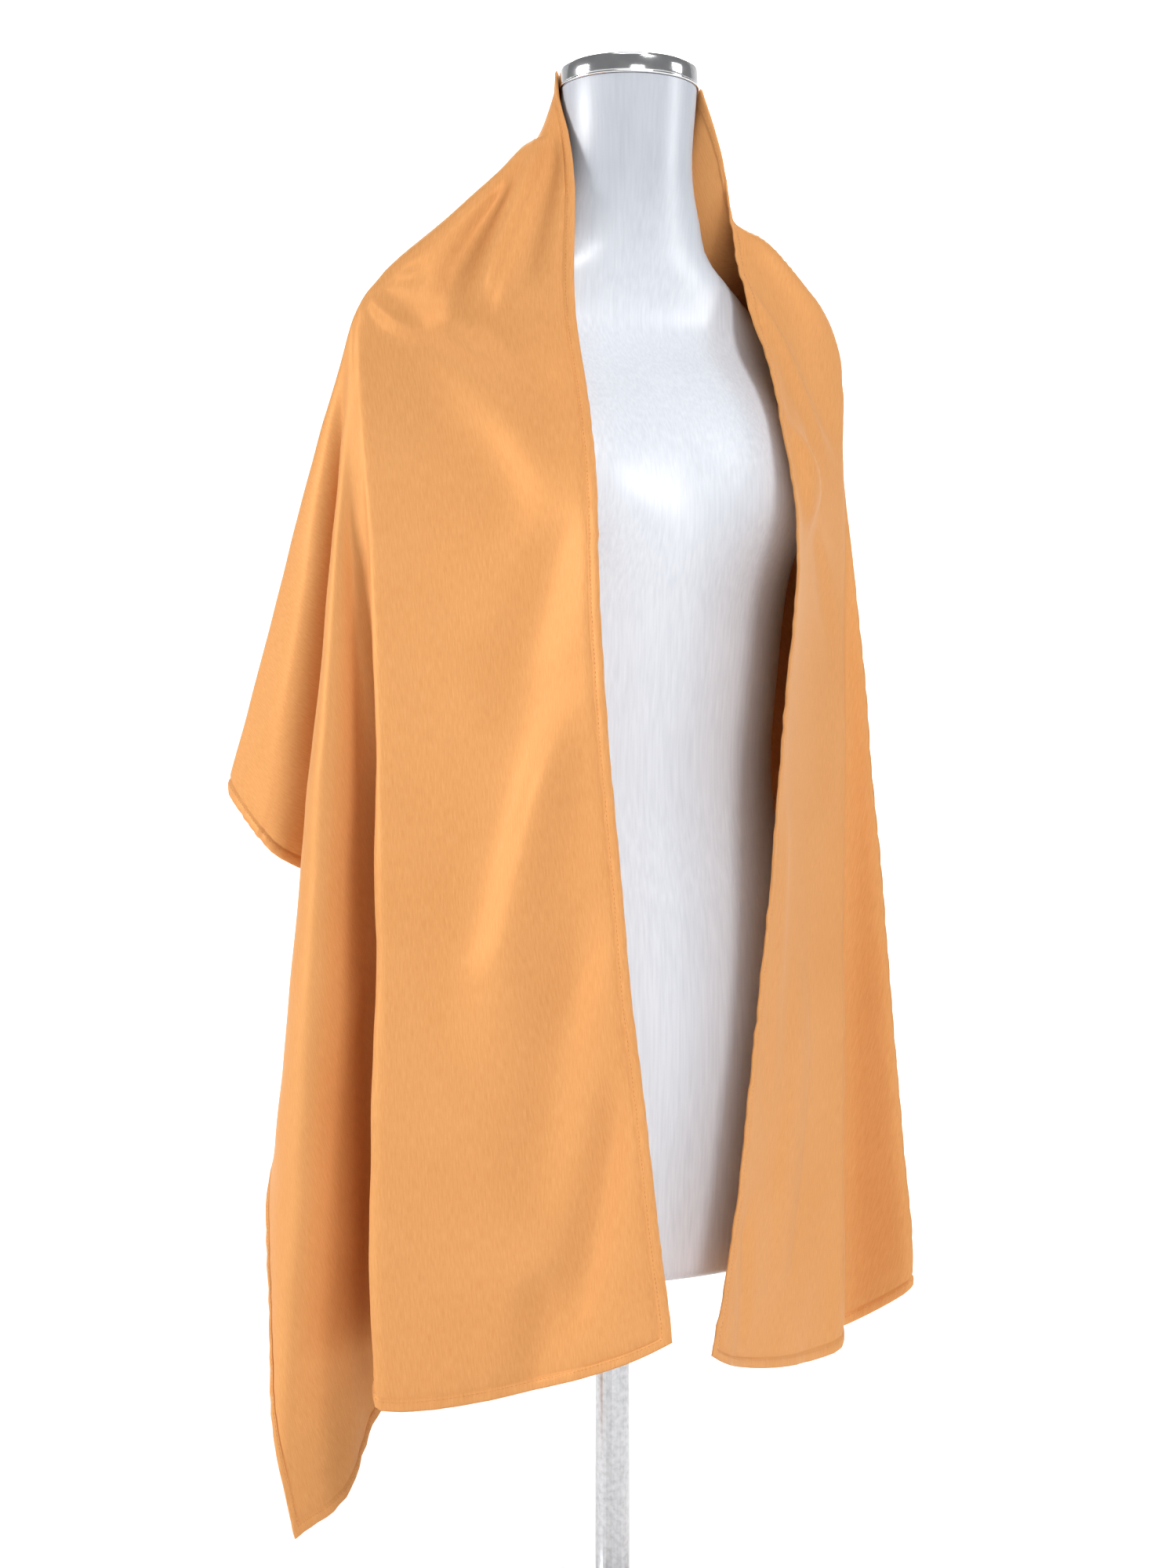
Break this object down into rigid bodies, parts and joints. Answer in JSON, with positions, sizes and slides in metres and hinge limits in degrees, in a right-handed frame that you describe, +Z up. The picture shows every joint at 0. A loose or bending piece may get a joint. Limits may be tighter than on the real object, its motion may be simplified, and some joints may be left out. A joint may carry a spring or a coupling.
{
  "type": "evening stole on dress form",
  "caption": "Satin evening stole worn over the shoulders of a limbless dress form on a round stand, its ends hanging in front.",
  "frame": {"origin": "middle of the underside of the stand's round base, on the floor", "axes": "+Z up, the front of the form faces -Y, and the form's own left is +X"},
  "size_m": [0.5516, 0.3813, 1.1511],
  "materials": {
    "satin": "satin weave, soft sheen",
    "form_white": "pearl white, glossy",
    "chrome": "polished",
    "steel": "brushed"
  },
  "bodies": {
    "root": {"right_front_panel": "satin", "right_front_side_fall": "satin", "left_front_panel": "satin", "left_front_side_fall": "satin", "back_panel": "satin", "right_front_neck_hem": "satin", "back_neck_hem": "satin", "left_front_neck_hem": "satin", "right_front_lower_hem": "satin", "back_lower_hem": "satin", "left_front_lower_hem": "satin", "right_end_hem": "satin", "left_end_hem": "satin", "dress_form": "form_white", "neck_cap": "chrome", "form_flange": "steel", "stand_pole": "steel", "stand_boss": "steel", "stand_base": "steel"}
  },
  "joints": []
}
